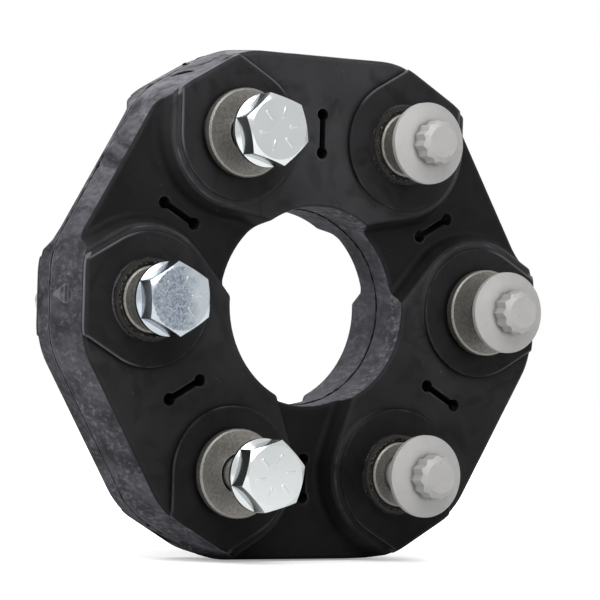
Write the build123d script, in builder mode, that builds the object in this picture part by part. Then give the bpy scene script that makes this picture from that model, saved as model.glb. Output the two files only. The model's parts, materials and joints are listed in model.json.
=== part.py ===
"""Flexible coupling disc of a car's driveshaft: a moulded rubber hexagon round six steel bushes,
with cord loops inside that tie each bush to its neighbours, and the six bolts that stand in it.

The disc stands upright. Its axis lies along Y, its front looks towards -Y, X is to the right and
Z is up. The origin is the centre of the bolt circle, in the plane of the rear bush collars, where
the coupled flange seats. Sizes are in millimetres and angles in degrees. Heights are measured from
the disc's mid-plane towards either face.
"""

import os
from math import cos, radians, sin, tan

from build123d import *

# Bolt circle and bolts
pitch_radius = 52.5
bolt_radius = 5.0
bolt_length = 70.0
bolt_tip_chamfer = 1.0
thread_radius = 4.84

# Hexagon head with a washer face
hex_sides = 6
hex_across_flats = 17.0
hex_washer_radius = 9.8
hex_washer_rim = 1.0
hex_washer_slope = 0.6
hex_head_height = 7.5
hex_face_radius = 8.1
hex_chamfer_angle = 30.0

# Flanged head with twelve points
star_point_radius = 6.05
star_flange_radius = 11.18
star_flange_rim = 1.3
star_cone_radius = 6.8
star_cone_height = 1.5
star_head_height = 8.7
star_face_radius = 4.3
star_chamfer_angle = 38.0

# Steel bush
bolt_clearance = 0.25
tube_wall = 3.69
collar_lip = 3.03
collar_thickness = 2.35
bush_chamfer = 0.4

# Cord loops, each round two neighbouring bushes: low ones under the valleys, tall ones above them
loop_thickness = 5.5
low_loop_height = 5.4
tall_loop_height = 5.7
loop_gap = 0.4

# Guide ring that holds the cord in at each end of a bush
ring_flange_lip = 5.06
ring_flange_thickness = 1.2
ring_neck_wall = 1.93
ring_stand = 1.56
ring_mouth_depth = 1.9
ring_mouth_gap = 0.3

# Running room between a guide ring and the collar, and how far a bush's plain end stands out
collar_gap = 0.23
plain_end_stand = 2.34

# Rubber body: what covers the loops and rings, and how far the rim lies beyond the bolts
bore_cover = 3.88
platform_cover = 0.7
valley_cover = 2.4
flat_margin = 24.1
corner_margin = 20.5
corner_blend = 23.0
rim_draft = 5.0
edge_round = 1.4

# Raised pad round each bush
pad_rise = 1.1
pad_radius = 18.0
pad_flank = 30.0

# Sloped ledge beside each pad, which lies nearer to the valley and so fades out behind the pad
ledge_width = 2.2
ledge_rise = 0.8
ledge_slope = 60.0
ledge_shift = 2.0
ledge_foot = 0.25

# Valley between two pads
valley_draft = 22.0
valley_splay = 20.0
valley_foot_round = 2.0
valley_foot_flat = 0.4

# Slot through each link between two bushes, a neck with a round blob at each end
slot_blob_radius = 1.7
slot_neck_width = 1.8
slot_length = 13.88
slot_cover = 0.36

# Groove that the parting line of the mould leaves round the rim, behind the mid-plane
parting_offset = 4.2
parting_width = 0.7
parting_depth = 0.45

# Points nearer to each other than this are the same
touching = 0.001

# Each bolt's place, its direction from the disc's centre, its head, how far the head stands off
# its bush, and how far the head is turned
bolts = [
    ("right", 0, "star", 8.76, 4),
    ("top_right", 60, "star", 8.4, 12),
    ("top_left", 120, "hex", 8.56, 44),
    ("left", 180, "hex", 7.26, 33),
    ("bottom_left", 240, "hex", 11.1, 16),
    ("bottom_right", 300, "star", 11.0, 9),
]
# The bushes whose collars are at the front, the others having theirs at the rear
front_collars = ["right", "top_left", "bottom_left"]
# The directions of the links between two bushes
valley_links = [("upper_right", 30), ("upper_left", 150), ("bottom", 270)]
platform_links = [("top", 90), ("lower_left", 210), ("lower_right", 330)]

# Worked out from the sizes above
half_step = 180 / len(bolts)
half_side = 180 / hex_sides
half_pitch = pitch_radius * sin(radians(half_step))
link_radius = pitch_radius * cos(radians(half_step))
bush_bore_radius = bolt_radius + bolt_clearance
tube_radius = bush_bore_radius + tube_wall
collar_radius = tube_radius + collar_lip
ring_neck_radius = tube_radius + ring_neck_wall
ring_flange_radius = tube_radius + ring_flange_lip
loop_radius = tube_radius + loop_thickness
tall_loop_base = low_loop_height + loop_gap
ring_base = tall_loop_base + tall_loop_height
platform_height = ring_base + ring_flange_thickness + platform_cover
pad_height = platform_height + pad_rise
valley_height = low_loop_height + valley_cover
ring_end = pad_height + ring_stand
collar_end = ring_end + collar_gap + collar_thickness
plain_end = pad_height + plain_end_stand
bore_radius = link_radius - loop_radius - bore_cover
ledge_radius = pad_radius + ledge_width
valley_depth = platform_height - valley_height
foot_half_width = half_pitch - ledge_radius - valley_depth * tan(radians(valley_draft))
# The foot of a narrow valley is rounded less, so that some of it stays flat
foot_round = min(valley_foot_round, foot_half_width - valley_foot_flat / 2)
parting_inset = parting_depth + parting_offset * tan(radians(rim_draft))

# The radius of each head's points, the radius of its face, its height and its chamfer's angle
head_sizes = {
    "hex": (
        hex_across_flats / 2 / cos(radians(half_side)),
        hex_face_radius,
        hex_head_height,
        hex_chamfer_angle,
    ),
    "star": (star_point_radius, star_face_radius, star_head_height, star_chamfer_angle),
}
# The radius and the rim of each head's flange, and the radius and the height of its slope's end
flange_sizes = {
    "hex": (hex_washer_radius, hex_washer_rim, hex_across_flats / 2, hex_washer_slope),
    "star": (star_flange_radius, star_flange_rim, star_cone_radius, star_cone_height),
}

MID = Plane.XZ.offset(collar_end)


def section(angle, front=True):
    """The plane through a bolt's axis: its X is the distance from the axis, its Y the height."""
    centre = MID.from_local_coords(Vector(pitch_radius, 0).rotate(Axis.Z, angle))
    return Plane(centre, x_dir=(1, 0, 0), z_dir=(0, 0, -1 if front else 1))


def height_of(edge):
    """How far the middle of an edge lies in front of the mid-plane."""
    return MID.to_local_coords(edge @ 0.5).Z


def axis_of(plane):
    """The bolt's axis in that plane."""
    return Axis(plane.origin, plane.y_dir)


def rim_outline():
    """The hexagon of the rim at the mid-plane, its corners cut across and blended."""
    with BuildSketch() as shape:
        RegularPolygon(link_radius + flat_margin, len(bolts), major_radius=False)
        RegularPolygon(
            pitch_radius + corner_margin,
            len(bolts),
            major_radius=False,
            rotation=half_step,
            mode=Mode.INTERSECT,
        )
        fillet(shape.vertices(), corner_blend)
    return shape.sketch


def drafted_block(height):
    """Half the disc up to a height, drafted from the mid-plane, its upper edges rounded."""
    with BuildPart() as block:
        with BuildSketch(MID):
            add(rim_outline())
        extrude(amount=height, taper=rim_draft)
        with BuildSketch(MID):
            Circle(bore_radius)
        extrude(amount=height, mode=Mode.SUBTRACT)
        fillet(block.faces().sort_by(Axis.Y)[0].edges(), edge_round)
    return block.part


def pad_outline(radius):
    """Round the bolt on the inside, with two flanks that close in towards the rim."""
    with BuildSketch() as shape:
        with BuildLine():
            round_side = CenterArc((0, 0), radius, 90 - pad_flank, 180 + 2 * pad_flank)
            Polyline(round_side @ 1, (radius / sin(radians(pad_flank)), 0), round_side @ 0)
        make_face()
    return shape.sketch


def valley_outline():
    """A valley's upper edge, for the link whose middle lies along X."""
    outwards = Vector(1, 0).rotate(Axis.Z, pad_flank - 90)
    inwards = Vector(-1, 0).rotate(Axis.Z, valley_splay)
    with BuildSketch() as shape:
        with BuildLine():
            waist = CenterArc(
                (link_radius, -half_pitch),
                ledge_radius,
                pad_flank,
                90 - pad_flank + valley_splay,
            )
            outer = Line(waist @ 0, waist @ 0 + outwards * flat_margin)
            inner = Line(waist @ 1, waist @ 1 + inwards * flat_margin)
            mirror(about=Plane.XZ)
            Line(outer @ 1, (outer @ 1).rotate(Axis.X, 180))
            Line(inner @ 1, (inner @ 1).rotate(Axis.X, 180))
        make_face()
    return shape.sketch


def ledge_outline():
    """The feet of the two ledges beside a valley, for the link whose middle lies along X."""
    with BuildSketch() as shape:
        with Locations((link_radius, ledge_shift - half_pitch)):
            add(pad_outline(ledge_radius - ledge_foot - ledge_shift), rotation=-half_step)
        mirror(about=Plane.XZ)
    return shape.sketch


def slot_outline():
    """The slot in a link whose middle lies along X."""
    outer_blob = link_radius + tube_radius - slot_cover - slot_blob_radius
    inner_blob = outer_blob - slot_length + 2 * slot_blob_radius
    with BuildSketch() as shape:
        with Locations((outer_blob, 0), (inner_blob, 0)):
            Circle(slot_blob_radius)
        with Locations(((outer_blob + inner_blob) / 2, 0)):
            Rectangle(outer_blob - inner_blob, slot_neck_width)
    return shape.sketch


def loop_outline():
    """A cord loop's run round two bushes, for the link whose middle lies along X."""
    with BuildSketch() as shape:
        with Locations((link_radius, 0)):
            SlotCenterToCenter(2 * half_pitch, 2 * loop_radius, rotation=90)
            SlotCenterToCenter(2 * half_pitch, 2 * tube_radius, rotation=90, mode=Mode.SUBTRACT)
    return shape.sketch


def at_links(outline, links):
    """The same outline at each of the links."""
    with BuildSketch() as shape:
        for _, angle in links:
            add(outline, rotation=angle)
    return shape.sketch


def head_outline(head, turn):
    """The hexagon of a bolt's head, or the twelve points of two hexagons."""
    with BuildSketch() as shape:
        if head == "hex":
            RegularPolygon(
                hex_across_flats / 2, hex_sides, major_radius=False, rotation=turn
            )
        else:
            RegularPolygon(star_point_radius, hex_sides, rotation=turn)
            RegularPolygon(star_point_radius, hex_sides, rotation=turn + half_side)
    return shape.sketch


def keep(piece, name):
    """Labels a finished piece and writes it."""
    piece.label = name
    export_step(piece, f"parts/{name}.step")


os.makedirs("parts", exist_ok=True)

# The raised pads round the bushes, and the ledges that slope from them to the valleys' edges
with BuildPart() as pads:
    with BuildSketch(MID.offset(platform_height)):
        add(at_links(ledge_outline(), valley_links))
    extrude(amount=ledge_rise, taper=ledge_slope)
    with BuildSketch(MID.offset(platform_height)):
        with PolarLocations(pitch_radius, len(bolts)):
            add(pad_outline(pad_radius))
    extrude(amount=pad_rise)
    # Their outer ends are flush with the rim
    add(drafted_block(pad_height), mode=Mode.INTERSECT)

# The mould's cores that leave the valleys, their walls drafted and their ends rounded
with BuildPart() as cores:
    with BuildSketch(MID.offset(platform_height)):
        add(at_links(valley_outline(), valley_links))
    extrude(amount=-valley_depth, taper=valley_draft)
    fillet(cores.faces().group_by(Axis.Y)[-1].edges(), foot_round)

with BuildPart() as rubber_body:
    # The front half
    add(drafted_block(platform_height))
    upright = sin(radians(2 * rim_draft))
    sides = rubber_body.faces().filter_by(lambda face: abs(face.normal_at().Y) < upright)
    # Its valleys, open to the rim and the bore over rounded lips
    add(cores.part, mode=Mode.SUBTRACT)
    lips = [
        edge
        for edge in rubber_body.edges()
        if height_of(edge) > valley_height - touching
        and height_of(edge) < valley_height + foot_round
        and min(side.distance_to(edge @ 0.5) for side in sides) < touching
    ]
    fillet(lips, edge_round)
    # Its pads
    add(pads.part)
    # Room for the bushes, and for the guide rings' necks and flanges
    with BuildSketch(MID):
        with PolarLocations(pitch_radius, len(bolts)):
            Circle(tube_radius)
    extrude(amount=pad_height, mode=Mode.SUBTRACT)
    with BuildSketch(MID.offset(ring_base)):
        with PolarLocations(pitch_radius, len(bolts)):
            Circle(ring_neck_radius)
    extrude(amount=pad_height - ring_base, mode=Mode.SUBTRACT)
    with BuildSketch(MID.offset(ring_base)):
        with PolarLocations(pitch_radius, len(bolts)):
            Circle(ring_flange_radius)
    extrude(amount=ring_flange_thickness, mode=Mode.SUBTRACT)
    # Room for the cord loops
    with BuildSketch(MID):
        add(at_links(loop_outline(), valley_links))
    extrude(amount=low_loop_height, mode=Mode.SUBTRACT)
    with BuildSketch(MID.offset(tall_loop_base)):
        add(at_links(loop_outline(), platform_links))
    extrude(amount=tall_loop_height, mode=Mode.SUBTRACT)
    # The slots
    with BuildSketch(MID):
        add(at_links(slot_outline(), valley_links + platform_links))
    extrude(amount=platform_height, mode=Mode.SUBTRACT)
    # The rear half is the same
    mirror(about=MID)
    # The groove of the parting line
    with BuildSketch(MID.offset(-parting_offset)):
        add(rim_outline())
        offset(amount=-parting_inset, mode=Mode.SUBTRACT)
    extrude(amount=parting_width / 2, both=True, mode=Mode.SUBTRACT)
keep(rubber_body.part, "rubber_body")

# The cord loops
for place, angle in valley_links:
    with BuildPart() as cord_loop:
        with BuildSketch(MID):
            add(loop_outline(), rotation=angle)
        extrude(amount=low_loop_height, both=True)
    keep(cord_loop.part, f"cord_loop_{place}")
for place, angle in platform_links:
    for name, side in (("front", 1), ("rear", -1)):
        with BuildPart() as cord_loop:
            with BuildSketch(MID.offset(side * tall_loop_base)):
                add(loop_outline(), rotation=angle)
            extrude(amount=side * tall_loop_height)
        keep(cord_loop.part, f"cord_loop_{place}_{name}")

for place, angle, head, stand_off, turn in bolts:
    # The steel bush, a tube with a collar at one end
    collar_front = place in front_collars
    across = section(angle, collar_front)
    with BuildPart() as bush:
        with BuildSketch(across) as wall:
            with BuildLine():
                Polyline(
                    (bush_bore_radius, -plain_end),
                    (tube_radius, -plain_end),
                    (tube_radius, collar_end - collar_thickness),
                    (collar_radius, collar_end - collar_thickness),
                    (collar_radius, collar_end),
                    (bush_bore_radius, collar_end),
                    close=True,
                )
            make_face()
            outer_corners = wall.vertices().group_by(Axis.Y)
            chamfer(outer_corners[0] + outer_corners[-1], bush_chamfer)
        revolve(axis=axis_of(across))
    keep(bush.part, f"bush_{place}")

    # The guide rings, each a neck round the bush with a flange against the cord
    for name, front in (("front", True), ("rear", False)):
        across = section(angle, front)
        mouth_radius = tube_radius + ring_mouth_gap
        with BuildPart() as guide_ring:
            with BuildSketch(across):
                with BuildLine():
                    Polyline(
                        (tube_radius, ring_base),
                        (ring_flange_radius, ring_base),
                        (ring_flange_radius, ring_base + ring_flange_thickness),
                        (ring_neck_radius, ring_base + ring_flange_thickness),
                        (ring_neck_radius, ring_end),
                        (mouth_radius, ring_end),
                        (mouth_radius, ring_end - ring_mouth_depth),
                        (tube_radius, ring_end - ring_mouth_depth),
                        close=True,
                    )
                make_face()
            revolve(axis=axis_of(across))
        keep(guide_ring.part, f"guide_ring_{place}_{name}")

    # The bolt, put in from the front
    seat = stand_off + (collar_end if collar_front else plain_end)
    across = section(angle)
    seat_plane = Plane(across.from_local_coords((0, seat)), x_dir=(1, 0, 0), z_dir=across.y_dir)
    point_radius, face_radius, head_height, slope = head_sizes[head]
    chamfer_drop = (point_radius - face_radius) * tan(radians(slope))
    flange_radius, flange_rim, cone_radius, cone_height = flange_sizes[head]
    with BuildPart() as bolt:
        # Its head, with the points chamfered
        with BuildSketch(seat_plane):
            add(head_outline(head, turn))
        extrude(amount=head_height)
        with BuildSketch(across):
            with BuildLine():
                Polyline(
                    (0, seat),
                    (point_radius, seat),
                    (point_radius, seat + head_height - chamfer_drop),
                    (face_radius, seat + head_height),
                    (0, seat + head_height),
                    close=True,
                )
            make_face()
        revolve(axis=axis_of(across), mode=Mode.INTERSECT)
        # Its flange
        with BuildSketch(across):
            with BuildLine():
                Polyline(
                    (0, seat),
                    (flange_radius, seat),
                    (flange_radius, seat + flange_rim),
                    (cone_radius, seat + flange_rim + cone_height),
                    (0, seat + flange_rim + cone_height),
                    close=True,
                )
            make_face()
        revolve(axis=axis_of(across))
        # Its shank as far as the plane of the rear collars, and the thread's crests from there on
        with BuildSketch(seat_plane):
            Circle(bolt_radius)
        extrude(amount=-seat - collar_end)
        with BuildSketch(seat_plane):
            Circle(thread_radius)
        extrude(amount=-bolt_length)
        chamfer(bolt.edges().sort_by(Axis.Y)[-1], bolt_tip_chamfer)
    keep(bolt.part, f"bolt_{place}")
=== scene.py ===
# %% [markdown]
# # A driveshaft flex disc
#
# The disc is a thick hexagon of moulded rubber round six steel bushes, with a bolt standing in each
# bush. The exact solids come from the frame, in metres, with the disc's axis along Y and its front
# towards -Y. This lesson dresses them: it gives each surface its material, cuts the bolts' threads,
# adds the thin flash that the mould leaves and the marks on the rim, and lights the disc.

import json
import math

import bpy
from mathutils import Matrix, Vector, noise


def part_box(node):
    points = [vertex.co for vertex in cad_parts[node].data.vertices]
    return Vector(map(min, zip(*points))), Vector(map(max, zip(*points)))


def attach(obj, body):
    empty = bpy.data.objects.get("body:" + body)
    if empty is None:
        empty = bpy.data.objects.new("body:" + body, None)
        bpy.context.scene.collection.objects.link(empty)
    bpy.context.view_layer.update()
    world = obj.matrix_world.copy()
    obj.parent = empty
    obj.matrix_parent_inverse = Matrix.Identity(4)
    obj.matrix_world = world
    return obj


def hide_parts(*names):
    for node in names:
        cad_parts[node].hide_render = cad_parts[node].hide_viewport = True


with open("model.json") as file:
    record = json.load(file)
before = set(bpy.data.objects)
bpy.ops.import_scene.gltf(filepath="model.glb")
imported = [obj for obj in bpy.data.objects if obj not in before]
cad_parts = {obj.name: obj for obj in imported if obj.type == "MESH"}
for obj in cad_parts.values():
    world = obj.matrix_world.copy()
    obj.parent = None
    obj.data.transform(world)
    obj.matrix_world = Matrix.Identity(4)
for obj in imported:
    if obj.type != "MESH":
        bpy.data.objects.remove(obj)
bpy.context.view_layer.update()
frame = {"nodes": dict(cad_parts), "record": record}
MM = 0.001
solids = frame["nodes"]

# %% [markdown]
# ## Measures
#
# Everything below is placed from a few measures. They could be typed in, but reading them from the
# solids keeps them true: the bolt circle from a bush, the mid-plane from the rubber, the radius of
# the bore from the rubber's innermost points.

# %% Measure the disc
rubber_low, rubber_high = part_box("rubber_body")
mid_y = (rubber_low.y + rubber_high.y) / 2
collar_front_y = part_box("bush_right")[0].y
head_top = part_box("bolt_left")[0].y
pitch_radius = (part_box("bush_right")[0].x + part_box("bush_right")[1].x) / 2
places = {
    "right": 0,
    "top_right": 60,
    "top_left": 120,
    "left": 180,
    "bottom_left": 240,
    "bottom_right": 300,
}


def from_axis(point, centre=Vector((0, 0, 0))):
    """How far a point lies from an axis along Y."""
    return math.hypot(point.x - centre.x, point.z - centre.z)


def centre_of(place):
    """Where a bolt's axis crosses the plane of the rear collars."""
    angle = math.radians(places[place])
    return Vector((pitch_radius * math.cos(angle), 0, pitch_radius * math.sin(angle)))


bore_radius = min(from_axis(corner.co) for corner in solids["rubber_body"].data.vertices)
print("mid-plane", round(mid_y / MM, 2), "bolts", round(pitch_radius / MM, 2))
print("bore", round(bore_radius / MM, 2), "head", round(head_top / MM, 2))

# %% [markdown]
# ## Camera
#
# The camera stands to the left of the disc's axis, level with its middle, and uses a long lens, as a
# catalogue photographer would to keep the hexagon from looking skewed. It comes first, because the
# small marks on the rim are placed where it sees them.

# %% Camera
camera_data = bpy.data.cameras.new("camera")
camera_data.lens = 177.6
camera_data.sensor_width = 36
camera_data.clip_end = 10
camera = bpy.data.objects.new("camera", camera_data)
camera.location = (-0.42196, collar_front_y - 0.68136, -0.02044)
camera.rotation_euler = [math.radians(turn) for turn in (91.569, -1.483, -31.261)]
bpy.context.scene.collection.objects.link(camera)
bpy.context.scene.camera = camera
print("camera at", [round(part, 3) for part in camera.location])

# %% [markdown]
# ## Colour and nodes
#
# A colour is easiest to choose as an sRGB hex value, the way a paint program shows it. A shader
# works in linear light, so one function turns the hex value into linear numbers. A second one adds a
# node with its settings and its links and gives back one output, so that the nodes can be nested and
# each material below reads as a short list.
#
# Two habits keep that list short. A Map Range node's values are given by their numbers: 0 is the
# value, 1 and 2 are the ends it comes from, 3 and 4 the ends it goes to, which are 0 and 1 if they
# are left out. And a pattern's scale is always worked out from a size in millimetres, while SOFT
# holds the detail and the roughness that most of the noise patterns share.


# %% Colour and node helpers
def linear(colour):
    """Turns an sRGB hex colour into the linear values that a shader takes."""
    shares = [int(colour[at : at + 2], 16) / 255 for at in (0, 2, 4)]
    return [s / 12.92 if s <= 0.04045 else ((s + 0.055) / 1.055) ** 2.4 for s in shares] + [1.0]


def node(tree, kind, inputs=(), output=0, **settings):
    """Adds a shader node. inputs gives each socket a value or another node's output."""
    made = tree.nodes.new("ShaderNode" + kind)
    for name, value in settings.items():
        setattr(made, name, value)
    for name, value in dict(inputs).items():
        if isinstance(value, bpy.types.NodeSocket):
            tree.links.new(value, made.inputs[name])
        else:
            made.inputs[name].default_value = value
    return made.outputs[output]


def new_material(name, roughness, metallic=0.0):
    """An empty material with its node tree, its shader and the object's own coordinates."""
    made = bpy.data.materials.new(name)
    made.use_nodes = True
    tree = made.node_tree
    shader = tree.nodes["Principled BSDF"]
    shader.inputs["Roughness"].default_value = roughness
    shader.inputs["Metallic"].default_value = metallic
    return made, tree, shader, node(tree, "TexCoord", output="Object")


def per_mm(size):
    """The scale at which a pattern's blotches are about this many millimetres across."""
    return 1 / (size * MM)


SOFT = {"Detail": 3.0, "Roughness": 0.55}
print("middle grey 808080 is", round(linear("808080")[0], 3), "in linear light")

# %% [markdown]
# ## Where the rubber looks different
#
# The body is carbon-black natural rubber, cured in a polished steel mould. Its faces are nearly
# black. Its rim and its bore were trimmed and handled, so dry dust sits on them. Its edges carry a
# pale line, partly rubbed and partly painted highlight, its creases get painted shade, and the slots
# through it are painted pitch black as shade.
#
# An image texture could hold all this, but it would need a photograph of the part. Masks do it from
# the shape itself: how far a point lies from the disc's axis, how high it stands, and which way its
# surface faces. Ambient Occlusion tells the rest. Looking out of the surface it finds hollows, and
# looking into it, it finds edges, where little rubber lies behind.

# %% Sizes for the masks
rim_starts = 57 * MM
rim_ends = 61 * MM
bore_dust = (1.2 * MM, 2.4 * MM)
front_lip = (4 * MM, 9 * MM)
edge_reach = 0.7 * MM
crease_reach = 2.5 * MM
slot_reach = 9 * MM
print("rim dust from", round(rim_starts / MM), "mm")
print("bore dust up to", round((bore_radius + bore_dust[1]) / MM, 1), "mm")


# %% Masks on the rubber
def rubber_masks(tree, place):
    """Shares from 0 to 1 that say where the rubber is dusty, on an edge, creased, deep or upright.

    level and height are no shares but metres, from the mid-plane and from the disc's axis.
    """
    parts = node(tree, "SeparateXYZ", {"Vector": place}).node.outputs
    across = node(tree, "CombineXYZ", {"X": parts["X"], "Z": parts["Z"]})
    radius = node(tree, "VectorMath", {0: across}, "Value", operation="LENGTH")
    normal = node(tree, "NewGeometry", output="Normal")

    # The sides face away from the axis or towards it, and lie out at the rim or in at the bore
    outward = node(tree, "VectorMath", {0: across}, "Vector", operation="NORMALIZE")
    outward = node(tree, "VectorMath", {0: outward, 1: normal}, "Value", operation="DOT_PRODUCT")
    outward = node(tree, "Math", {0: outward}, operation="ABSOLUTE")
    side = node(tree, "MapRange", {0: outward, 1: 0.74, 2: 0.88}, interpolation_type="SMOOTHSTEP")
    outer = node(tree, "MapRange", {0: radius, 1: rim_starts, 2: rim_ends})
    near, far = [bore_radius + reach for reach in bore_dust]
    inner = node(tree, "MapRange", {0: radius, 1: near, 2: far, 3: 1, 4: 0})
    either = node(tree, "Math", {0: outer, 1: inner}, operation="MAXIMUM")
    near, far = [mid_y - reach for reach in front_lip]
    front = node(tree, "MapRange", {0: parts["Y"], 1: near, 2: far})
    facing = node(tree, "SeparateXYZ", {"Vector": normal}, "Y")
    facing = node(tree, "Math", {0: facing}, operation="ABSOLUTE")
    level = node(tree, "Math", {0: parts["Y"], 1: mid_y}, operation="SUBTRACT")

    convex = node(tree, "AmbientOcclusion", {"Distance": edge_reach}, "AO", samples=6, inside=True)
    hollow = node(tree, "AmbientOcclusion", {"Distance": crease_reach}, "AO", samples=6)
    deep = node(tree, "AmbientOcclusion", {"Distance": slot_reach}, "AO", samples=6)
    edge = node(tree, "MapRange", {0: convex, 1: 0.95, 2: 0.6})
    return {
        "dusty": node(tree, "Math", {0: side, 1: either}, operation="MULTIPLY"),
        "bore": inner,
        "bore_lip": node(tree, "Math", {0: front, 1: inner}, operation="MULTIPLY"),
        "edge": edge,
        "side_edge": node(tree, "Math", {0: edge, 1: either}, operation="MULTIPLY"),
        "crease": node(tree, "MapRange", {0: hollow, 1: 0.9, 2: 0.5}),
        "deep": node(tree, "MapRange", {0: deep, 1: 0.45, 2: 0.3}),
        "wall": node(tree, "MapRange", {0: facing, 1: 0.92, 2: 0.6}),
        "level": node(tree, "Math", {0: level}, operation="ABSOLUTE"),
        "height": parts["Z"],
    }


print("ready to find rim, bore, edges, creases, slots and walls")

# %% [markdown]
# ## The faces of the rubber
#
# A painted sheen makes the upper half a dark grey, and it fades downwards. The valleys, the walls,
# the slots and every crease get painted shade, and the pads are darker as well. Clouds and smears
# from the mould spray lie over it, and a few pale specks of dust. Each is one mask that mixes one
# more colour over the last.

# %% Levels on the faces
valley_level = (10 * MM, 13 * MM)
pad_level = (13.7 * MM, 14.2 * MM)
sheen_reach = 62 * MM
print("valleys below", round(valley_level[0] / MM, 1), "mm from the mid-plane")
print("pads above", round(pad_level[1] / MM, 1), "mm")


# %% The tone of the faces
def face_tone(tree, place, masks):
    """The faces' colour, from the painted sheen down to the pale edges, which are partly painted highlight.
    """
    cloud = node(tree, "TexNoise", {**SOFT, "Vector": place, "Scale": per_mm(24), "Distortion": 0.6})
    cloud = node(tree, "MapRange", {0: cloud, 1: 0.35, 2: 0.68})
    # Painted sheen: the faces are painted lighter towards the top, where the light falls, with clouds over
    # it
    painted_sheen = node(tree, "MapRange", {0: masks["height"], 1: -sheen_reach, 2: sheen_reach, 4: 0.85})
    painted_sheen = node(tree, "MixRGB", {"Fac": 0.25, "Color1": painted_sheen, "Color2": cloud})
    tone = node(tree, "MixRGB", {"Fac": painted_sheen, "Color1": linear("121213"), "Color2": linear("414143")})

    # Painted shade: the valleys, the walls, the slots and the creases are darkened towards 080809, and the
    # pads are darkened as well
    low, high = valley_level
    valley = node(tree, "MapRange", {0: masks["level"], 1: low, 2: high, 3: 0.68, 4: 0})
    low, high = pad_level
    pad = node(tree, "MapRange", {0: masks["level"], 1: low, 2: high, 4: 0.42})
    darker = node(tree, "Math", {0: valley, 1: pad}, operation="ADD")
    wall = node(tree, "Math", {0: masks["wall"], 1: 0.55}, operation="MULTIPLY")
    for dark_place in (wall, masks["deep"], masks["crease"]):
        darker = node(tree, "Math", {0: darker, 1: dark_place}, operation="MAXIMUM")
    tone = node(tree, "MixRGB", {"Fac": darker, "Color1": tone, "Color2": linear("080809")})

    # Dust specks of about 0.3 mm, drawn 0.9 mm across so that they show, and only in patches
    speck = node(tree, "TexNoise", {**SOFT, "Vector": place, "Scale": per_mm(0.9)})
    speck = node(tree, "MapRange", {0: speck, 1: 0.73, 2: 0.79})
    patch = node(tree, "TexNoise", {**SOFT, "Vector": place, "Scale": per_mm(11)})
    patch = node(tree, "MapRange", {0: patch, 1: 0.52, 2: 0.66})
    speck = node(tree, "Math", {0: speck, 1: patch}, operation="MULTIPLY")
    tone = node(tree, "MixRGB", {"Fac": speck, "Color1": tone, "Color2": linear("707072")})

    smear = node(tree, "TexNoise", {**SOFT, "Vector": place, "Scale": per_mm(13), "Distortion": 2.0})
    smear = node(tree, "MapRange", {0: smear, 1: 0.5, 2: 0.68, 4: 0.35})
    tone = node(tree, "MixRGB", {"Fac": smear, "Color1": tone, "Color2": linear("080808")})

    # The edges: painted paler, partly rubbing and partly painted highlight, but not all along
    uneven = node(tree, "TexNoise", {**SOFT, "Vector": place, "Scale": per_mm(5)})
    uneven = node(tree, "MapRange", {0: uneven, 1: 0.42, 2: 0.66, 3: 0.03, 4: 0.4})
    rub_and_highlight = node(tree, "Math", {0: masks["edge"], 1: uneven}, operation="MULTIPLY")
    return node(tree, "MixRGB", {"Fac": rub_and_highlight, "Color1": tone, "Color2": linear("59585b")})


print("the faces go from 121213 at the bottom to 414143 at the top")

# %% [markdown]
# ## The rim and the bore
#
# Dust of a violet grey lies on the sides in blotches. They are stretched along the disc's axis, as
# the mould's halves drew apart along it. It lies thicker towards the top, and a little of it lies
# all over the bore. Finer noise breaks it up into dark pits and pale scuffs, and the scuffs are
# thickest on the bore's front lip, where the centring sleeve goes in.

# %% Settled dust
dust_heights = (15 * MM, 64 * MM)
drawn_apart = (1, 0.55, 1)
print("dust settles above", round(dust_heights[0] / MM), "mm over the axis")


# %% The tone of the rim and the bore
def side_tone(tree, place, masks):
    """The sides' colour, and the scuffs on them, which stand out a little."""
    flow = node(tree, "Mapping", {"Vector": place, "Scale": drawn_apart})
    blotch = {**SOFT, "Vector": flow, "Scale": per_mm(9), "Detail": 4.0, "Distortion": 0.8}
    dust = node(tree, "TexNoise", blotch)
    dust = node(tree, "MapRange", {0: dust, 1: 0.36, 2: 0.66})
    tone = node(tree, "MixRGB", {"Fac": dust, "Color1": linear("2c2b2f"), "Color2": linear("545359")})

    low, high = dust_heights
    settled = node(tree, "MapRange", {0: masks["height"], 1: low, 2: high, 4: 0.85})
    settled = node(tree, "Math", {0: settled, 1: dust}, operation="MULTIPLY")
    bore = node(tree, "Math", {0: masks["bore"], 1: 0.13}, operation="MULTIPLY")
    settled = node(tree, "Math", {0: settled, 1: bore}, operation="MAXIMUM")
    tone = node(tree, "MixRGB", {"Fac": settled, "Color1": tone, "Color2": linear("99989f")})

    grain = {**SOFT, "Vector": flow, "Scale": per_mm(1.3), "Detail": 5.0, "Roughness": 0.65}
    grain = node(tree, "TexNoise", grain)
    pits = node(tree, "MapRange", {0: grain, 1: 0.48, 2: 0.34, 4: 0.5})
    tone = node(tree, "MixRGB", {"Fac": pits, "Color1": tone, "Color2": linear("3c3b3f")})
    scuff = node(tree, "MapRange", {0: grain, 1: 0.5, 2: 0.74})
    spread = node(tree, "TexNoise", {**SOFT, "Vector": flow, "Scale": per_mm(8)})
    spread = node(tree, "MapRange", {0: spread, 1: 0.42, 2: 0.66, 3: 0.18, 4: 0.7})
    spread = node(tree, "Math", {0: spread, 1: masks["bore_lip"]}, operation="MAXIMUM")
    scuff = node(tree, "Math", {0: scuff, 1: spread}, operation="MULTIPLY")
    tone = node(tree, "MixRGB", {"Fac": scuff, "Color1": tone, "Color2": linear("8f8e94")})
    # Painted shade in the creases of the rim and the bore
    tone = node(tree, "MixRGB", {"Fac": masks["crease"], "Color1": tone, "Color2": linear("18181a")})
    return tone, scuff


print("the sides go from 2c2b2f to 545359, and to 99989f where dust settled")
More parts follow.
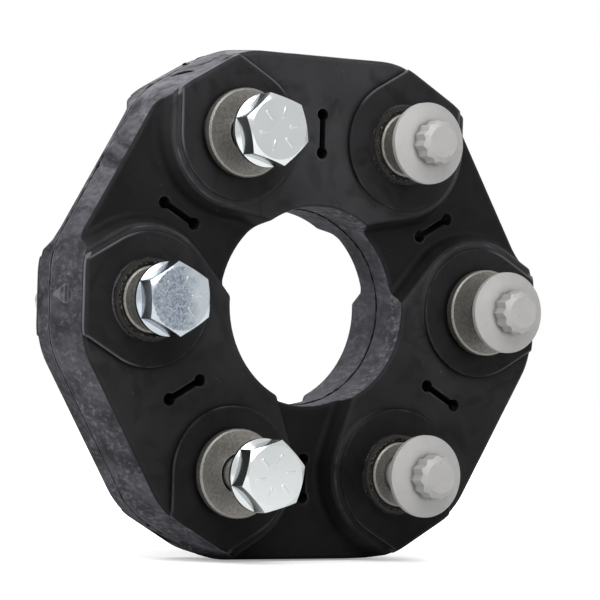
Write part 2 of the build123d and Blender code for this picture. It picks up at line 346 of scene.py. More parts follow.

# %% [markdown]
# ## Moulded rubber
#
# The two tones meet by the dust mask, and a pale line runs along the edges of the rim and the
# bore, partly rubbing and partly a painted highlight, fainter towards the bottom. The faces have a
# soft sheen, the dust is dull, and the slots have no sheen at all. Carbon-black rubber mirrors
# little, so the shader's Specular IOR Level is low. The relief is a chain: slightly rounded edges,
# slow waves from shrinking, the grit of the mould, then the dust. The real grit is finer than a
# pixel and is drawn 0.5 mm across.

# %% Moulded rubber
# Between these two heights the pale line on the edges, partly painted highlight, grows to its full strength
rub_and_highlight_heights = (-40 * MM, -2 * MM)


def moulded_rubber():
    """The whole body: faces with a soft sheen, dusty sides, pale edges that are partly painted highlight,
    and slots painted black as shade.
    """
    made, tree, shader, place = new_material("moulded_rubber", 0.55)
    masks = rubber_masks(tree, place)
    face = face_tone(tree, place, masks)
    side, scuff = side_tone(tree, place, masks)
    tone = node(tree, "MixRGB", {"Fac": masks["dusty"], "Color1": face, "Color2": side})
    # Painted highlight, partly rubbing: a pale line on the edges of the rim and the bore, stronger towards
    # the top
    low, high = rub_and_highlight_heights
    rub_and_highlight_fade = node(tree, "MapRange", {0: masks["height"], 1: low, 2: high, 3: 0.08, 4: 0.4})
    rub_and_highlight = node(tree, "Math", {0: masks["side_edge"], 1: rub_and_highlight_fade}, operation="MULTIPLY")
    tone = node(tree, "MixRGB", {"Fac": rub_and_highlight, "Color1": tone, "Color2": linear("98979d")})
    tree.links.new(tone, shader.inputs["Base Color"])
    dull = node(tree, "MapRange", {0: masks["dusty"], 3: 0.5, 4: 0.8})
    dull = node(tree, "Math", {0: dull, 1: masks["deep"]}, operation="MAXIMUM")
    tree.links.new(dull, shader.inputs["Roughness"])
    shader.inputs["Specular IOR Level"].default_value = 0.06

    rounded = node(tree, "Bevel", {"Radius": 0.3 * MM}, samples=6)
    wave = node(tree, "TexNoise", {**SOFT, "Vector": place, "Scale": per_mm(14)})
    relief = node(tree, "Bump", {"Height": wave, "Distance": 0.25 * MM, "Normal": rounded})
    grit = node(tree, "TexNoise", {**SOFT, "Vector": place, "Scale": per_mm(0.5)})
    relief = node(tree, "Bump", {"Height": grit, "Distance": 0.012 * MM, "Normal": relief})
    crust = {"Height": scuff, "Distance": 0.1 * MM, "Strength": masks["dusty"], "Normal": relief}
    relief = node(tree, "Bump", crust)
    tree.links.new(relief, shader.inputs["Normal"])
    return made


rubber = moulded_rubber()
print("made", rubber.name, "with", len(rubber.node_tree.nodes), "nodes")

# %% [markdown]
# ## Torn rubber
#
# Flash is the same rubber squeezed thin, without the dust, so it has a black material of its own,
# rough where it was torn off. In the parting lines and slits it is plain black, and this black also
# paints the shadow in the gaps. Round the necks of the guide rings it has crumbled, with paler
# crumbs. The real crumbs are finer than a pixel and are drawn 0.5 mm across.


# %% Torn rubber
def torn_rubber(name, pale):
    """Black rubber whose crumbs have a paler tone."""
    made, tree, shader, place = new_material(name, 0.7)
    crumb = node(tree, "TexNoise", {**SOFT, "Vector": place, "Scale": per_mm(0.5)})
    tone = node(tree, "MapRange", {0: crumb, 1: 0.48, 2: 0.68})
    tone = node(tree, "MixRGB", {"Fac": tone, "Color1": linear("0c0c0d"), "Color2": linear(pale)})
    tree.links.new(tone, shader.inputs["Base Color"])
    relief = node(tree, "Bump", {"Height": crumb, "Distance": 0.15 * MM})
    tree.links.new(relief, shader.inputs["Normal"])
    shader.inputs["Specular IOR Level"].default_value = 0.08
    return made


# Black flash; in the parting lines and slits its black also paints the shadow in the gaps
flash_and_painted_shadow = torn_rubber("torn_rubber", "151516")
crumbled_rubber = torn_rubber("crumbled_rubber", "6d6862")
print("made", flash_and_painted_shadow.name, crumbled_rubber.name)

# %% [markdown]
# ## Phosphated steel
#
# The bushes are turned steel with a zinc phosphate coat: crystals far finer than a pixel, which give
# a warm dark grey that is nearly matt. They are drawn 0.7 mm across, as faint clouds. Each chamfer
# carries a pale line, a painted highlight. A Bevel node finds it: where the normal that it would
# round off differs from the true one, there is an edge.


# %% Phosphated steel
def phosphated_steel():
    """Turned steel under a dull grey coat, with a pale line on each edge."""
    made, tree, shader, place = new_material("phosphated_steel", 0.48, 0.9)
    grain = node(tree, "TexNoise", {**SOFT, "Vector": place, "Scale": per_mm(0.7), "Detail": 5.0})
    grain = node(tree, "MapRange", {0: grain, 1: 0.3, 2: 0.7})
    tone = node(tree, "MixRGB", {"Fac": grain, "Color1": linear("696661"), "Color2": linear("878580")})
    normal = node(tree, "NewGeometry", output="Normal")
    rounded = node(tree, "Bevel", {"Radius": 0.25 * MM}, samples=6)
    turned = node(tree, "VectorMath", {0: rounded, 1: normal}, "Value", operation="DOT_PRODUCT")
    # Painted highlight: a pale line on each chamfer
    edge = node(tree, "MapRange", {0: turned, 1: 0.995, 2: 0.93, 4: 0.8})
    tone = node(tree, "MixRGB", {"Fac": edge, "Color1": tone, "Color2": linear("bcbab4")})
    tree.links.new(tone, shader.inputs["Base Color"])
    relief = node(tree, "Bump", {"Height": grain, "Distance": 0.03 * MM, "Normal": rounded})
    tree.links.new(relief, shader.inputs["Normal"])
    return made


bush_steel = phosphated_steel()
print("made", bush_steel.name)

# %% [markdown]
# ## Zinc plate
#
# The hexagon bolts have bright zinc with a blue passivation, smooth enough to mirror the dark rubber
# in their flanks. The passivation of the left bolt is mottled on the side of its head that lies away
# from the bore. One recipe makes the clean and the stained plate, from a base colour and the
# strength of the stain, which is full on the head's top and weak on its flanks.

# %% Where the stain lies
stain_fades = (6 * MM, -4 * MM)
top_skin = (0.2 * MM, 0.05 * MM)
print("the stain thins out", round(stain_fades[0] / MM), "mm to the right of the left bolt's axis")


# %% Zinc plate
def zinc_plate(name, bright, stained):
    """Blue zinc plate; stained is how strong its mottled stain gets."""
    made, tree, shader, place = new_material(name, 0.2, 1.0)
    fine = {"Vector": place, "Scale": per_mm(0.5), "Detail": 5.0, "Roughness": 0.7}
    mottle = node(tree, "TexNoise", fine)
    mottle = node(tree, "MapRange", {0: mottle, 1: 0.3, 2: 0.66})
    broad = node(tree, "TexNoise", {**SOFT, "Vector": place, "Scale": per_mm(9)})
    parts = node(tree, "SeparateXYZ", {"Vector": place}).node.outputs
    right, left = [fade - pitch_radius for fade in stain_fades]
    across = node(tree, "MapRange", {0: parts["X"], 1: right, 2: left, 3: -0.15, 4: 0.25})
    broad = node(tree, "Math", {0: broad, 1: across}, operation="ADD")
    broad = node(tree, "MapRange", {0: broad, 1: 0.36, 2: 0.6, 4: stained})
    below, above = [head_top + skin for skin in top_skin]
    on_top = node(tree, "MapRange", {0: parts["Y"], 1: below, 2: above, 3: 0.25, 4: 1})
    broad = node(tree, "Math", {0: broad, 1: on_top}, operation="MULTIPLY")
    stain = node(tree, "Math", {0: mottle, 1: broad}, operation="MULTIPLY")
    tone = node(tree, "MixRGB", {"Fac": stain, "Color1": linear(bright), "Color2": linear("4c5a6d")})
    tree.links.new(tone, shader.inputs["Base Color"])
    dull = node(tree, "MapRange", {0: stain, 3: 0.17, 4: 0.4})
    tree.links.new(dull, shader.inputs["Roughness"])
    rounded = node(tree, "Bevel", {"Radius": 0.15 * MM}, samples=6)
    relief = node(tree, "Bump", {"Height": broad, "Distance": 0.06 * MM, "Normal": rounded})
    tree.links.new(relief, shader.inputs["Normal"])
    return made


clean_zinc = zinc_plate("blue_zinc_plate", "c5c9c9", 0.12)
stained_zinc = zinc_plate("stained_zinc_plate", "b9c0c6", 1.0)
print("made", clean_zinc.name, stained_zinc.name)

# %% [markdown]
# ## Zinc flake coat
#
# The twelve-point bolts are dipped in a paint of zinc and aluminium flakes. The flakes lie in all
# directions, so the coat scatters light like a pale matt paint with only a trace of metal. Full
# metal would mirror the room and look too bright. The hollows between the points get painted shade,
# and the coat has small dark nicks.


# %% Zinc flake coat
def flake_coat():
    """A pale matt coat, darker in the hollows and at the nicks."""
    made, tree, shader, place = new_material("zinc_flake_coat", 0.62, 0.2)
    soft = node(tree, "TexNoise", {**SOFT, "Vector": place, "Scale": per_mm(3)})
    tone = node(tree, "MixRGB", {"Fac": soft, "Color1": linear("a6a5a4"), "Color2": linear("b4b3b2")})
    nick = node(tree, "TexNoise", {**SOFT, "Vector": place, "Scale": per_mm(0.8), "Distortion": 1.5})
    nick = node(tree, "MapRange", {0: nick, 1: 0.7, 2: 0.74})
    # Painted shade in the hollows between the points and at the head's foot
    hollow = node(tree, "AmbientOcclusion", {"Distance": 1.5 * MM}, "AO", samples=6)
    hollow = node(tree, "MapRange", {0: hollow, 1: 0.95, 2: 0.5, 4: 0.65})
    nicks_and_shade = node(tree, "Math", {0: nick, 1: hollow}, operation="MAXIMUM")
    tone = node(tree, "MixRGB", {"Fac": nicks_and_shade, "Color1": tone, "Color2": linear("4b4a48")})
    tree.links.new(tone, shader.inputs["Base Color"])
    rounded = node(tree, "Bevel", {"Radius": 0.1 * MM}, samples=6)
    relief = node(tree, "Bump", {"Height": nick, "Distance": -0.1 * MM, "Normal": rounded})
    tree.links.new(relief, shader.inputs["Normal"])
    return made


flake = flake_coat()
print("made", flake.name)

# %% [markdown]
# ## Guide rings and cord
#
# The guide rings are a hard moulding, polyamide as far as one can see, brownish black and gritty
# where rubber has crept over them. The grit is drawn 0.7 mm across so that it shows. The cord loops
# are sealed inside the rubber and never show, but they still get the look of wound polyester cord,
# matt and pale. A Wave texture gives it ridges. Its wave advances by 20 radians in one unit, so a
# strand of 0.8 mm for each radian makes a ridge every 5 mm, coarser than the real cord.


# %% Guide rings and cord
def gritty_moulding():
    """A hard brownish black moulding with paler grit on it."""
    made, tree, shader, place = new_material("gritty_polyamide", 0.75)
    grit = {"Vector": place, "Scale": per_mm(0.7), "Detail": 5.0, "Roughness": 0.7}
    grit = node(tree, "TexNoise", grit)
    share = node(tree, "MapRange", {0: grit, 1: 0.48, 2: 0.66})
    tone = node(tree, "MixRGB", {"Fac": share, "Color1": linear("0c0b0a"), "Color2": linear("2e2925")})
    tree.links.new(tone, shader.inputs["Base Color"])
    relief = node(tree, "Bump", {"Height": grit, "Distance": 0.25 * MM})
    tree.links.new(relief, shader.inputs["Normal"])
    return made


strand = 0.8 * MM
wave_radians = 20


def wound_cord():
    """Pale matt cord with a ridge every 2 pi strands."""
    made, tree, shader, place = new_material("polyester_cord", 0.8)
    wave = {"Vector": place, "Scale": 1 / (wave_radians * strand)}
    strands = node(tree, "TexWave", wave, "Fac", bands_direction="Y")
    tone = node(tree, "MixRGB", {"Fac": strands, "Color1": linear("a89a7c"), "Color2": linear("d8ccae")})
    tree.links.new(tone, shader.inputs["Base Color"])
    relief = node(tree, "Bump", {"Height": strands, "Distance": 0.2 * MM})
    tree.links.new(relief, shader.inputs["Normal"])
    return made


ring_moulding = gritty_moulding()
cord = wound_cord()
print("made", ring_moulding.name, cord.name, "with ridges", round(2 * math.pi * strand / MM, 1), "mm apart")

# %% [markdown]
# ## Dress the solids
#
# The record says which material slot each solid has, so one table from slots to finishes dresses
# them all. The solids stay where they are and as they are.

# %% Dress the solids
finishes = {
    "rubber": rubber,
    "bush_steel": bush_steel,
    "guide_ring": ring_moulding,
    "cord": cord,
    "zinc_bolt": clean_zinc,
    "coated_bolt": flake,
}
slots = {row["node"]: row["material_slot"] for row in frame["record"]["subparts"]}
for name, solid in solids.items():
    solid.data.materials.clear()
    solid.data.materials.append(finishes[slots[name]])
print("finished", len(slots), "solids with", len(finishes), "materials")

# %% [markdown]
# ## Working on one piece
#
# An operator acts on everything that is selected, so each piece is worked on alone. When it is
# finished, its place goes into its mesh, and it gets its material, rides on the part and takes a
# slot. Three small functions do this for every new piece.


# %% Working on one piece
def pick(piece):
    """Makes one object the only selected one and the active one."""
    bpy.ops.object.select_all(action="DESELECT")
    piece.select_set(True)
    bpy.context.view_layer.objects.active = piece


def work_on(piece):
    """Picks an object and goes into edit mode with all of it selected."""
    pick(piece)
    bpy.ops.object.mode_set(mode="EDIT")
    bpy.ops.mesh.select_all(action="SELECT")


def settle(piece, finish):
    """Puts a finished piece's place into its mesh, gives it its material and rides it on the part."""
    pick(piece)
    bpy.ops.object.transform_apply(location=True, rotation=True, scale=True)
    piece.data.materials.clear()
    piece.data.materials.append(finish)
    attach(piece, "root")


# %% [markdown]
# ## The thread
#
# Each bolt's solid ends in a plain cylinder as thick as the thread's crests. A real M10 thread has a
# groove about 0.9 mm deep every 1.5 mm, and here it is 0.8 mm deep. A bump map would leave the
# outline smooth, so the thread is real geometry: one edge is bent to the outline of a groove and
# wound round the axis by a Screw modifier. Bisect then cuts both ends flat and closes them.

# %% Thread sizes
thread_pitch = 1.5 * MM
thread_depth = 0.8 * MM
thread_overlap = 0.6 * MM
tip_chamfer = 1.4 * MM
spare_turns = 4
steps_round = 36
# From crest to crest over the root, as shares of the pitch and the depth. The last two corners meet
groove_outline = [(0, 0), (0.07, 0), (0.43, 1), (0.57, 1), (0.93, 0), (1, 0), (1, 0)]
print("a thread turns every", thread_pitch / MM, "mm")


# %% The edge of one groove
def groove_edge(centre, start):
    """One edge along Y, cut in six, ready to be bent into the outline of a groove."""
    bpy.ops.object.select_all(action="DESELECT")
    bpy.ops.mesh.primitive_plane_add(size=thread_pitch, location=(centre.x, start, centre.z))
    edge = bpy.context.object
    bpy.ops.object.mode_set(mode="EDIT")
    bpy.ops.mesh.select_all(action="SELECT")
    bpy.ops.mesh.delete(type="ONLY_FACE")
    bpy.ops.object.mode_set(mode="OBJECT")
    for corner in edge.data.vertices:
        corner.select = corner.co.x < 0
    bpy.ops.object.mode_set(mode="EDIT")
    bpy.ops.mesh.delete(type="VERT")
    bpy.ops.mesh.select_all(action="SELECT")
    bpy.ops.mesh.subdivide(number_cuts=5)
    bpy.ops.object.mode_set(mode="OBJECT")
    return edge


print("an edge of", len(groove_outline), "corners makes the groove")


# %% Wind and cut the thread
def cut_thread(place, crest, tip):
    """A closed rod with a right-handed thread, from the plane of the rear collars to the tip."""
    centre = centre_of(place)
    edge = groove_edge(centre, -2 * thread_pitch)
    rows = sorted(edge.data.vertices, key=lambda corner: corner.co.y)
    for corner, (along, deep) in zip(rows, groove_outline):
        corner.co = (crest - deep * thread_depth, along * thread_pitch, 0)
    winding = edge.modifiers.new("winding", "SCREW")
    winding.axis = "Y"
    winding.angle = -2 * math.pi
    winding.screw_offset = thread_pitch
    winding.iterations = math.ceil(tip / thread_pitch) + spare_turns
    winding.steps = steps_round
    winding.render_steps = steps_round
    bpy.ops.object.modifier_apply(modifier="winding")
    bpy.ops.object.transform_apply(location=True, rotation=True, scale=True)
    work_on(edge)
    bpy.ops.mesh.remove_doubles(threshold=0.02 * MM)
    for height, side in ((-thread_overlap, {"clear_inner": True}), (tip, {"clear_outer": True})):
        bpy.ops.mesh.select_all(action="SELECT")
        bpy.ops.mesh.bisect(plane_co=(0, height, 0), plane_no=(0, 1, 0), use_fill=True, **side)
    bpy.ops.mesh.select_all(action="SELECT")
    bpy.ops.mesh.normals_make_consistent(inside=False)
    bpy.ops.object.mode_set(mode="OBJECT")
    # The tip's chamfer
    for corner in edge.data.vertices:
        room = crest - max(0, tip_chamfer - (tip - corner.co.y))
        out = from_axis(corner.co, centre)
        if out > room:
            corner.co.x = centre.x + (corner.co.x - centre.x) * room / out
            corner.co.z = centre.z + (corner.co.z - centre.z) * room / out
    return edge


print("its tip has a chamfer of", round(tip_chamfer / MM, 2), "mm")

# %% [markdown]
# ## Strokes on the hexagon heads
#
# Six short radial strokes stand up from the top of each hexagon head, each a bevelled bar sunk
# halfway into it. They could be a bump, but a raised bar catches a real highlight.

# %% Strokes on the hexagon heads
strokes = 6
stroke_length = 3.0 * MM
stroke_width = 0.7 * MM
stroke_height = 0.26 * MM
stroke_middle = 4.6 * MM
stroke_bevel = 0.12 * MM
# Degrees by which the first stroke is turned from the x axis
stroke_turn = 12


def stroke(centre, top, angle):
    """One raised bar on a head whose top lies in the plane y = top."""
    out = Vector((math.cos(angle), 0, math.sin(angle))) * stroke_middle
    bpy.ops.object.select_all(action="DESELECT")
    bpy.ops.mesh.primitive_cube_add(
        size=1,
        location=(centre.x + out.x, top, centre.z + out.z),
        rotation=(0, -angle, 0),
        scale=(stroke_length, stroke_height, stroke_width),
    )
    bar = bpy.context.object
    bpy.ops.object.transform_apply(location=True, rotation=True, scale=True)
    work_on(bar)
    bpy.ops.mesh.bevel(offset=stroke_bevel, segments=2)
    bpy.ops.object.mode_set(mode="OBJECT")
    return bar


print(strokes, "strokes of", stroke_length / MM, "mm")

# %% [markdown]
# ## The bolts
#
# Each bolt is a copy of its solid, cut off where the thread starts and joined with the thread and,
# if its head is a hexagon, with the strokes. The copy carries the solid's averaged normals, which
# would shade the cut wrongly, so they are cleared and the smooth surfaces are found again by angle.

# %% The bolts
tail_length = 5 * MM
smooth_below = math.radians(20)


def dressed_bolt(place, finish):
    """A copy of a bolt's solid with its thread cut, and strokes on its head if it is a hexagon."""
    name = "bolt_" + place
    solid = solids[name]
    low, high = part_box(name)
    piece = solid.copy()
    piece.data = solid.data.copy()
    piece.name = "threaded_" + name
    bpy.context.scene.collection.objects.link(piece)
    work_on(piece)
    bpy.ops.mesh.customdata_custom_splitnormals_clear()
    bpy.ops.mesh.remove_doubles(threshold=0.002 * MM)
    bpy.ops.mesh.bisect(plane_co=(0, 0, 0), plane_no=(0, 1, 0), use_fill=True, clear_outer=True)
    bpy.ops.object.mode_set(mode="OBJECT")
    centre = centre_of(place)
    tail = [from_axis(c.co, centre) for c in solid.data.vertices if c.co.y > high.y - tail_length]
    added = [cut_thread(place, max(tail), high.y)]
    if slots[name] == "zinc_bolt":
        turns = [math.radians(360 // strokes * count + stroke_turn) for count in range(strokes)]
        added += [stroke(centre, low.y, turn) for turn in turns]
    pick(piece)
    for part in added:
        part.select_set(True)
    bpy.ops.object.join()
    bpy.ops.object.shade_smooth_by_angle(angle=smooth_below)
    settle(piece, finish)
    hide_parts(name)
    return piece


for place in places:
    zinc = stained_zinc if place == "left" else clean_zinc
    bolt = dressed_bolt(place, zinc if slots["bolt_" + place] == "zinc_bolt" else flake)
    print(bolt.name, len(bolt.data.polygons), "faces")

# %% [markdown]
# ## Flash round the necks
#
# Where the mould's pin met each guide ring, a thin collar of rubber crept out and was torn off
# unevenly. One ring lies at the foot of each neck, half sunk in the pad, and one on the neck's end,
# round its mouth. Each is a torus, and noise along its run makes it ragged. The noise is looked up
# by place, so that it is the same in each run.

# %% A ragged ring
raggedness = 0.8
thinnest = 0.25
fine_tear = 0.9 * MM
broad_tear = 3.5 * MM


def ragged_ring(name, centre, radius, thick, seed):
    """A torus round an axis along Y, with a ragged section."""
    bpy.ops.object.select_all(action="DESELECT")
    bpy.ops.mesh.primitive_torus_add(
        location=centre,
        rotation=(math.pi / 2, 0, 0),
        major_radius=radius,
        minor_radius=thick,
        major_segments=160,
        minor_segments=8,
    )
    ring = bpy.context.object
    ring.name = name
    bpy.ops.object.transform_apply(location=True, rotation=True, scale=True)
    for corner in ring.data.vertices:
        out = corner.co - centre
        spine = Vector((out.x, 0, out.z)).normalized() * radius
        swell = 1 + raggedness * noise.noise(spine / fine_tear + Vector((seed, 0, 0)))
        swell += raggedness * noise.noise(spine / broad_tear + Vector((0, seed, 0)))
        corner.co = centre + spine + (out - spine) * max(swell, thinnest)
    bpy.ops.object.shade_smooth()
    return ring


print("a ring tears every", fine_tear / MM, "and every", broad_tear / MM, "mm")

# %% Flash round the necks
# Takes each neck to a place of its own in the noise
seed_step = 7.3
for number, place in enumerate(places):
    for side, pad_y in (("front", rubber_low.y), ("rear", rubber_high.y)):
        guide = "guide_ring_{}_{}".format(place, side)
        end_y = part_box(guide)[0].y if side == "front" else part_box(guide)[1].y
        centre = centre_of(place)
        points = [corner.co for corner in solids[guide].data.vertices]
        reach = [from_axis(point, centre) for point in points if abs(point.y - end_y) < 0.01 * MM]
        # Where each ring lies along the axis, its radius and half its thickness
        rings = {
            "neck_flash": (pad_y, max(reach) - 0.25 * MM, 0.34 * MM),
            "mouth_flash": (end_y, min(reach) + 0.5 * MM, 0.3 * MM),
        }
        for kind, (y, radius, thick) in rings.items():
            middle = centre + Vector((0, y, 0))
            name = "_".join((kind, place, side))
            ring = ragged_ring(name, middle, radius, thick, number * seed_step + y)
            settle(ring, crumbled_rubber)
print("flash round", 2 * len(places), "necks")

# %% [markdown]
# ## Parting lines
#
# The two halves of the mould meet in a line that runs round the rim, in its groove, and round the
# bore. The rubber that was squeezed into the joint stands up as a thin black thread, whose black also
# paints the shadow of the parting gap. To lie on the rubber everywhere, it is found by casting rays
# at the solid, and it is drawn as a curve whose thickness and place wander a little.

# %% Finding the rim and the bore
bpy.context.view_layer.update()
body = solids["rubber_body"]
# Rays that look inwards start this far from the axis, outside the disc
outside = 0.1


def rubber_at(angle, y, from_outside):
    """Where the rim, or else the bore, lies in a direction from the disc's axis."""
    out = Vector((math.cos(angle), 0, math.sin(angle)))
    start = out * outside if from_outside else Vector((0, 0, 0))
    hit, spot, _, _ = body.ray_cast(start + Vector((0, y, 0)), -out if from_outside else out)
    return spot if hit else None


print("the rim's top is at", [round(part / MM, 1) for part in rubber_at(math.pi / 2, mid_y, True)])


# %% A thread of rubber
thread_waver = 0.8
waver_length = 1.7 * MM
thread_tip = 0.2


def thread_of_rubber(name, points, thick, closed, finish=flash_and_painted_shadow):
    """A round thread of radius thick through some points, thinner and thicker along its run."""
    data = bpy.data.curves.new(name, "CURVE")
    data.dimensions = "3D"
    data.bevel_depth = thick
    data.bevel_resolution = 1
    data.use_fill_caps = not closed
    line = data.splines.new("POLY")
    line.points.add(len(points) - 1)
    for dot, spot in zip(line.points, points):
        dot.co = (*spot, 1)
        dot.radius = 1 + thread_waver * noise.noise(spot / waver_length)
    if not closed:
        line.points[0].radius = line.points[-1].radius = thread_tip
    line.use_cyclic_u = closed
    made = bpy.data.objects.new(name, data)
    bpy.context.scene.collection.objects.link(made)
    pick(made)
    bpy.ops.object.convert(target="MESH")
    made = bpy.context.object
    bpy.ops.object.shade_smooth()
    settle(made, finish)
    return made


print("an open thread tapers to", thread_tip, "of its thickness")

# %% The two parting lines
rays = 720
groove_behind = 4.2 * MM
above_groove = 0.12 * MM
# How far the bore's line wanders, and how finely
drifts = ((1.1 * MM, 1.6), (0.25 * MM, 14))
turns = [2 * math.pi * count / rays for count in range(rays)]
bore_line = []
for turn in turns:
    way = Vector((math.cos(turn), 0, math.sin(turn)))
    drift = sum(far * noise.noise(way * fine) for far, fine in drifts)
    point = rubber_at(turn, mid_y + drift, False)
    if point:
        bore_line.append(point)
rim_line = [rubber_at(turn, mid_y + groove_behind, True) for turn in turns]
rim_line = [point + Vector((point.x, 0, point.z)).normalized() * above_groove for point in rim_line]
thread_of_rubber("bore_parting_flash", bore_line, 0.3 * MM, True)
thread_of_rubber("rim_parting_flash", rim_line, 0.45 * MM, True)
print("the lines have", len(bore_line), "and", len(rim_line), "points")

# %% [markdown]
# ## The arrow on the rim
#
# The left corner of the rim carries a raised arrow that shows the turning direction. It lies where
# the camera sees it, so a ray goes from the camera through its pixel to the rubber. The arrow starts
# as a flat block whose rear end is merged to a point, and a bevel rounds its edges.


# %% Finding a place through the camera
image_middle = 300


def seen_at(across, down):
    """The rubber that the camera sees at a pixel of the 600 x 600 image."""
    half = camera_data.sensor_width / 2 / camera_data.lens
    right = (across - image_middle) / image_middle * half
    up = (image_middle - down) / image_middle * half
    sight = camera.rotation_euler.to_matrix() @ Vector((right, up, -1))
    hit, spot, _, _ = body.ray_cast(camera.location, sight.normalized())
    return spot if hit else None


arrow_pixel = (60, 293.5)
arrow_spot = seen_at(*arrow_pixel)
print("the arrow's place is", [round(part / MM, 1) for part in arrow_spot])

# %% The arrow
arrow_length = 8.0 * MM
arrow_width = 5.4 * MM
arrow_height = 0.8 * MM
arrow_bevel = 0.15 * MM
block = (2 * arrow_height, arrow_length, arrow_width)
bpy.ops.object.select_all(action="DESELECT")
bpy.ops.mesh.primitive_cube_add(size=1, location=arrow_spot, scale=block)
arrow = bpy.context.object
arrow.name = "arrow_mark"
bpy.ops.object.transform_apply(location=True, rotation=True, scale=True)
bpy.ops.object.mode_set(mode="EDIT")
bpy.ops.mesh.select_mode(type="VERT")
bpy.ops.mesh.select_all(action="DESELECT")
bpy.ops.object.mode_set(mode="OBJECT")
for corner in arrow.data.vertices:
    corner.select = corner.co.y > arrow_spot.y
bpy.ops.object.mode_set(mode="EDIT")
bpy.ops.mesh.merge(type="CENTER")
bpy.ops.mesh.select_all(action="SELECT")
bpy.ops.mesh.bevel(offset=arrow_bevel, segments=2)
bpy.ops.object.mode_set(mode="OBJECT")
settle(arrow, rubber)
print("the arrow has", len(arrow.data.vertices), "corners")

# %% [markdown]
# ## Scratches and slits
#
# A few pale hairs and scratches lie on the faces, and two black threads beside the parting line
# paint the shadow in two slits, where flash was pulled out. Each is a thread of rubber through the
# places that the camera sees at some pixels, so that it follows the surface. The scratches are pale
# and only 0.14 mm wide.

# %% Scratches and slits
scratches = {
    "scratch_left": ((215, 377.2), (217.3, 379.6), (219.4, 382.2)),
    "scratch_pad_left": ((215, 211), (217.5, 210.2), (220, 211)),
    "scratch_top": ((342, 69), (343.5, 72), (344.2, 75)),
    "scratch_valley": ((389, 251), (391.5, 249.6), (394, 249.9)),
}
# Black threads that paint the shadow in two slits
slits = {
    "slit_top_left": ((171, 76.5), (177, 74.5), (184, 73), (190, 71.8), (195, 70.8)),
    "slit_bottom_left": ((151, 530), (157, 533), (163, 536.5), (169, 540), (176, 543.5)),
}
pale_rubber = torn_rubber("scratched_rubber", "8c8b8d")
for marks, thick, finish in ((scratches, 0.07 * MM, pale_rubber), (slits, 0.42 * MM, flash_and_painted_shadow)):
    for name, pixels in marks.items():
        points = [seen_at(*pixel) for pixel in pixels]
        points = [point for point in points if point]
        if len(points) > 1:
            thread_of_rubber(name, points, thick, False, finish)
        print(name, "has", len(points), "points")

# %% [markdown]
# ## Tags
#
# Three torn tags of flash still hang on the rim. Each is a small ball, pushed in and out by noise
# until it looks like a crumb, and half sunk in the rubber.

# %% Tags
tag_tear = 0.8 * MM
tag_raggedness = 0.9
# Each tag's angle round the disc, how far it lies behind the mid-plane, and its radius
tags = {
    "tag_upper": (149, 4.0 * MM, 0.9 * MM),
    "tag_top": (116, 8.0 * MM, 0.5 * MM),
    "tag_low": (236, 4.5 * MM, 0.8 * MM),
}
for name, (angle, behind, size) in tags.items():
    spot = rubber_at(math.radians(angle), mid_y + behind, True)
    bpy.ops.object.select_all(action="DESELECT")
    bpy.ops.mesh.primitive_ico_sphere_add(subdivisions=3, radius=size, location=spot)
    tag = bpy.context.object
    tag.name = name
    bpy.ops.object.transform_apply(location=True, rotation=True, scale=True)
    for corner in tag.data.vertices:
        out = corner.co - spot
        corner.co = spot + out * (1 + tag_raggedness * noise.noise(corner.co / tag_tear))
    bpy.ops.object.shade_smooth()
    settle(tag, flash_and_painted_shadow)
print("tags:", len(tags))

# %% [markdown]
# ## Lamps
#
# The key light is a soft box above the front, so that the faces darken towards the bottom. A weaker
# one from the left lights the rim, and a third one from behind lights the rear face. Each is a
# square of the same size that looks at the disc's middle.

# %% Lamps
lamp_size = 0.6
lamp_target = Vector((0, mid_y, 0))
lamps = {
    "key": ((-0.2, -0.6, 0.6), 6.0),
    "fill": ((-0.75, 0.2, 0.55), 3.8),
    "back": ((0.4, 0.75, 0.6), 5.0),
}
for name, (spot, power) in lamps.items():
    data = bpy.data.lights.new(name, "AREA")
    data.size = lamp_size
    data.energy = power
    lamp = bpy.data.objects.new(name, data)
    lamp.location = spot
    lamp.rotation_euler = (lamp_target - Vector(spot)).to_track_quat("-Z", "Y").to_euler()
    bpy.context.scene.collection.objects.link(lamp)
    print(name, "of", power, "W at", spot)

# %% [markdown]
# ## Room
#
# The camera, mirrors and glass see a white room, while the light that falls on the disc from the
# room is lower. Turning the room up for everything would wash the black rubber out.

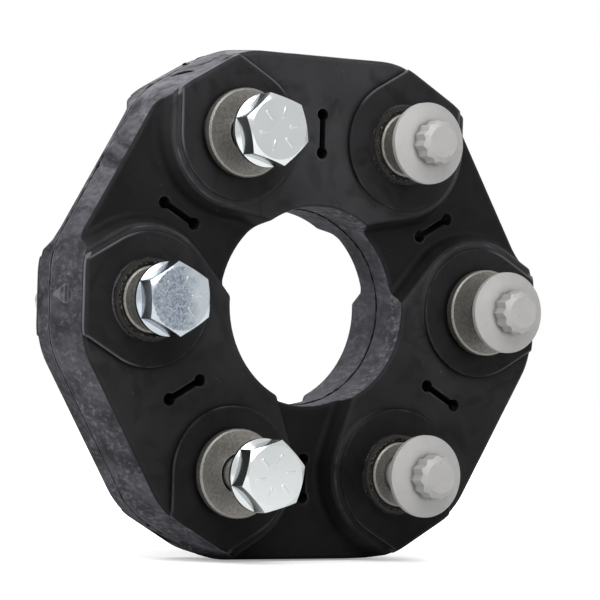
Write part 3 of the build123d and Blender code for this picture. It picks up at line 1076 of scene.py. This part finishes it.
# %% Room
room_light = 0.15
world = bpy.data.worlds.new("studio")
bpy.context.scene.world = world
world.use_nodes = True
sky = world.node_tree
path = node(sky, "LightPath").node.outputs
seen = node(sky, "Math", {0: path["Is Camera Ray"], 1: path["Is Glossy Ray"]}, operation="MAXIMUM")
seen = node(sky, "Math", {0: seen, 1: path["Is Transmission Ray"]}, operation="MAXIMUM")
strength = node(sky, "MapRange", {0: seen, 3: room_light, 4: 1.0})
sky.nodes["Background"].inputs["Color"].default_value = (1, 1, 1, 1)
sky.links.new(strength, sky.nodes["Background"].inputs["Strength"])
print("the room lights the disc at", room_light)

# %% [markdown]
# ## Paper
#
# The disc stands on white paper. The paper glows for the camera, and about half as much in mirrors,
# which turns it as white as the room. Near the disc it glows less, so that the contact shadow stays.

# %% Paper
paper_size = 8
mirrored_glow = 0.55
shadow_glow = 0.22
shadow_starts = 0.07
shadow_ends = 0.1
bpy.ops.object.select_all(action="DESELECT")
bpy.ops.mesh.primitive_plane_add(size=paper_size, location=(0, 2, rubber_low.z))
floor = bpy.context.object
floor.name = "floor"
bpy.ops.object.transform_apply(location=True, rotation=True, scale=True)
paper, paper_tree, paper_shader, paper_place = new_material("white_paper", 0.9)
paper_shader.inputs["Base Color"].default_value = linear("f4f4f4")
paper_shader.inputs["Emission Color"].default_value = (1, 1, 1, 1)
sight = node(paper_tree, "LightPath").node.outputs
mirrored = node(paper_tree, "Math", {0: sight["Is Glossy Ray"], 1: mirrored_glow}, operation="MULTIPLY")
sight = node(paper_tree, "Math", {0: sight["Is Camera Ray"], 1: mirrored}, operation="MAXIMUM")
away = node(paper_tree, "VectorMath", {0: paper_place}, "Value", operation="LENGTH")
away = node(paper_tree, "MapRange", {0: away, 1: shadow_starts, 2: shadow_ends, 3: shadow_glow, 4: 1.0})
glow = node(paper_tree, "Math", {0: sight, 1: away}, operation="MULTIPLY")
paper_tree.links.new(glow, paper_shader.inputs["Emission Strength"])
floor.data.materials.append(paper)
bpy.context.scene.view_settings.view_transform = "Standard"
print("the paper lies at", round(rubber_low.z / MM, 1), "mm")
